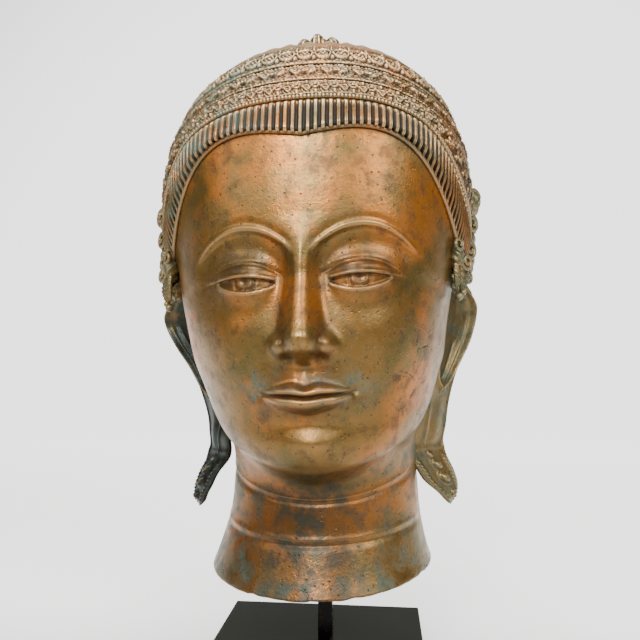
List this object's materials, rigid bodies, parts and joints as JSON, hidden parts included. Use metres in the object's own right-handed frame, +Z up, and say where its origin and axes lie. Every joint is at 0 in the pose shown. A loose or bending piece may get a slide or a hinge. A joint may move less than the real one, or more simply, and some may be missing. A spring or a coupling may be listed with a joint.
{
  "type": "bronze buddha head on stand",
  "caption": "Patinated bronze buddha head with a banded diadem, long ears and pendants, held by a square rod on a square plate.",
  "frame": {"origin": "centre of the plate's underside, on what the object stands on", "axes": "+Z up, the face looks to -Y, +X is the viewer's right"},
  "size_m": [0.242, 0.24, 0.466],
  "materials": {
    "bronze": "cast bronze with a warm brown patina, worn bright on the relief, green in the hollows",
    "rod": "gloss black lacquer with worn brown flecks",
    "plate": "satin black paint"
  },
  "bodies": {
    "root": {"bronze_head": "bronze", "stand_rod": "rod", "stand_plate": "plate"}
  },
  "joints": []
}
